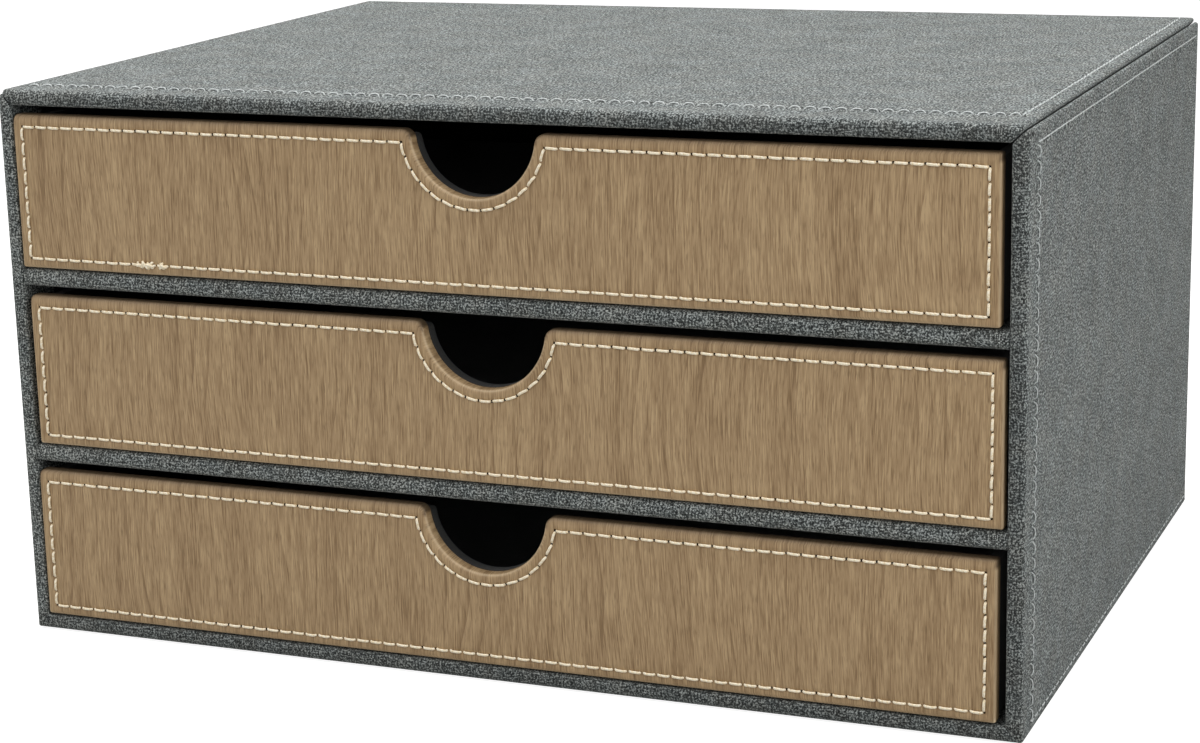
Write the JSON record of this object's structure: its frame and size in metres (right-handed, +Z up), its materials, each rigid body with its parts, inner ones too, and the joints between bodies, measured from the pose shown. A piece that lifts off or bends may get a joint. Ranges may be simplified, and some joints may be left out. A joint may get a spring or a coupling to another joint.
{
  "type": "desktop drawer organizer",
  "caption": "Low desktop paper cabinet wrapped in grey linen-look fabric; drawers with stitched wood-grain fronts slide out by a half-round finger notch.",
  "frame": {"origin": "centre of the underside, on the surface that the cabinet stands on", "axes": "+X to the right as seen from the front, +Y to the back, +Z up; the drawers open towards -Y"},
  "size_m": [0.34, 0.266, 0.1839],
  "materials": {
    "case_fabric": "grey linen-look coated cloth, matt",
    "fibreboard": "raw medium-density fibreboard",
    "front_leather": "printed and embossed wood-grain leather cloth, satin",
    "black_paper": "black lining paper, matt",
    "black_cloth": "black book cloth, matt",
    "flannelette": "black napped cloth",
    "felt": "black needle felt"
  },
  "bodies": {
    "case": {"top_board": "fibreboard", "top_cover": "case_fabric", "bottom_board": "fibreboard", "bottom_cover": "case_fabric", "left_board": "fibreboard", "left_cover": "case_fabric", "right_board": "fibreboard", "right_cover": "case_fabric", "base_felt": "felt", "back_board": "fibreboard", "back_cover": "case_fabric", "lower_shelf_board": "fibreboard", "lower_shelf_cover": "case_fabric", "upper_shelf_board": "fibreboard", "upper_shelf_cover": "case_fabric", "bottom_bay_lining": "black_paper", "middle_bay_lining": "black_paper", "top_bay_lining": "black_paper"},
    "bottom_drawer": {"bottom_drawer_front_panel": "fibreboard", "bottom_drawer_front_leather": "front_leather", "bottom_drawer_front_wall": "fibreboard", "bottom_drawer_back_wall": "fibreboard", "bottom_drawer_left_wall": "fibreboard", "bottom_drawer_right_wall": "fibreboard", "bottom_drawer_floor": "fibreboard", "bottom_drawer_box_wrap": "black_cloth", "bottom_drawer_floor_pad": "flannelette"},
    "middle_drawer": {"middle_drawer_front_panel": "fibreboard", "middle_drawer_front_leather": "front_leather", "middle_drawer_front_wall": "fibreboard", "middle_drawer_back_wall": "fibreboard", "middle_drawer_left_wall": "fibreboard", "middle_drawer_right_wall": "fibreboard", "middle_drawer_floor": "fibreboard", "middle_drawer_box_wrap": "black_cloth", "middle_drawer_floor_pad": "flannelette"},
    "top_drawer": {"top_drawer_front_panel": "fibreboard", "top_drawer_front_leather": "front_leather", "top_drawer_front_wall": "fibreboard", "top_drawer_back_wall": "fibreboard", "top_drawer_left_wall": "fibreboard", "top_drawer_right_wall": "fibreboard", "top_drawer_floor": "fibreboard", "top_drawer_box_wrap": "black_cloth", "top_drawer_floor_pad": "flannelette"}
  },
  "joints": [
    {"name": "bottom_drawer_slide", "type": "slide", "parent": "case", "child": "bottom_drawer", "axis": [0, -1, 0], "range_m": [0, 0.235]},
    {"name": "middle_drawer_slide", "type": "slide", "parent": "case", "child": "middle_drawer", "axis": [0, -1, 0], "range_m": [0, 0.235]},
    {"name": "top_drawer_slide", "type": "slide", "parent": "case", "child": "top_drawer", "axis": [0, -1, 0], "range_m": [0, 0.235]}
  ]
}
